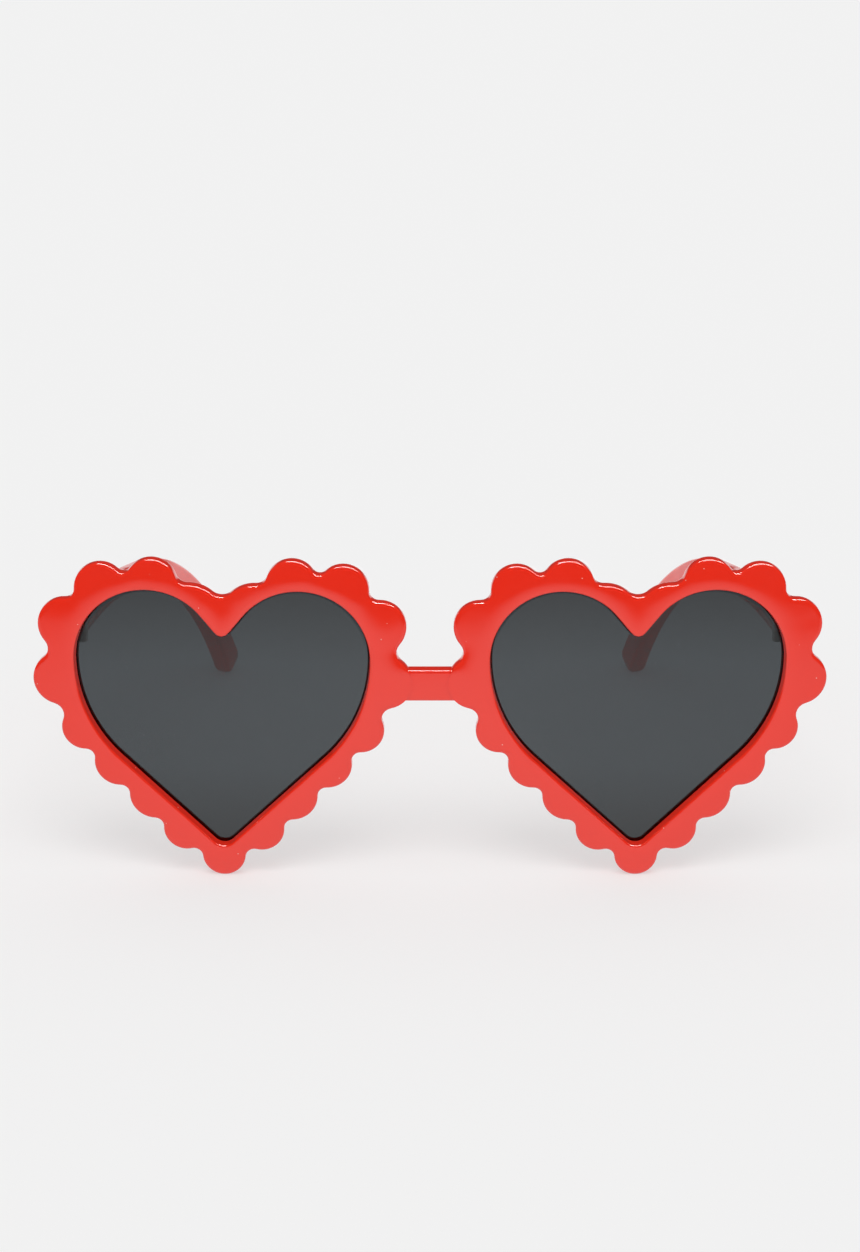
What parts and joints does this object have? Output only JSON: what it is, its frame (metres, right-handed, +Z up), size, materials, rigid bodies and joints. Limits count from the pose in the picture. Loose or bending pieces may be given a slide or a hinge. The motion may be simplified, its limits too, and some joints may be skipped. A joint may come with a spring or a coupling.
{
  "type": "heart shaped sunglasses",
  "caption": "Sunglasses with scalloped heart shaped rims, dark tinted lenses, a slim bridge bar and folding temples with ear hooks.",
  "frame": {"origin": "centre of the bounding box's base, on the floor that the open glasses stand on", "axes": "+X to the wearer's left, +Y from the front back along the temples, +Z up"},
  "size_m": [0.146, 0.1348, 0.0607],
  "materials": {
    "red_plastic": "polished, opaque red",
    "tinted_lens": "polished, see-through dark grey tint",
    "hinge_metal": "bright nickel plated"
  },
  "bodies": {
    "front": {"front_frame": "red_plastic", "lens_left": "tinted_lens", "lens_right": "tinted_lens", "front_hinge_leaf_left": "hinge_metal", "front_hinge_leaf_right": "hinge_metal", "hinge_screw_left": "hinge_metal", "hinge_screw_right": "hinge_metal"},
    "left_temple": {"temple_left": "red_plastic", "temple_hinge_leaf_left": "hinge_metal"},
    "right_temple": {"temple_right": "red_plastic", "temple_hinge_leaf_right": "hinge_metal"}
  },
  "joints": [
    {"name": "left_hinge", "type": "hinge", "parent": "front", "child": "left_temple", "pos_m": [0.06467, -0.05599, 0.04529], "axis": [0, 0, 1], "range_deg": [0, 80]},
    {"name": "right_hinge", "type": "hinge", "parent": "front", "child": "right_temple", "pos_m": [-0.06467, -0.05599, 0.04529], "axis": [0, 0, -1], "range_deg": [0, 72]}
  ]
}
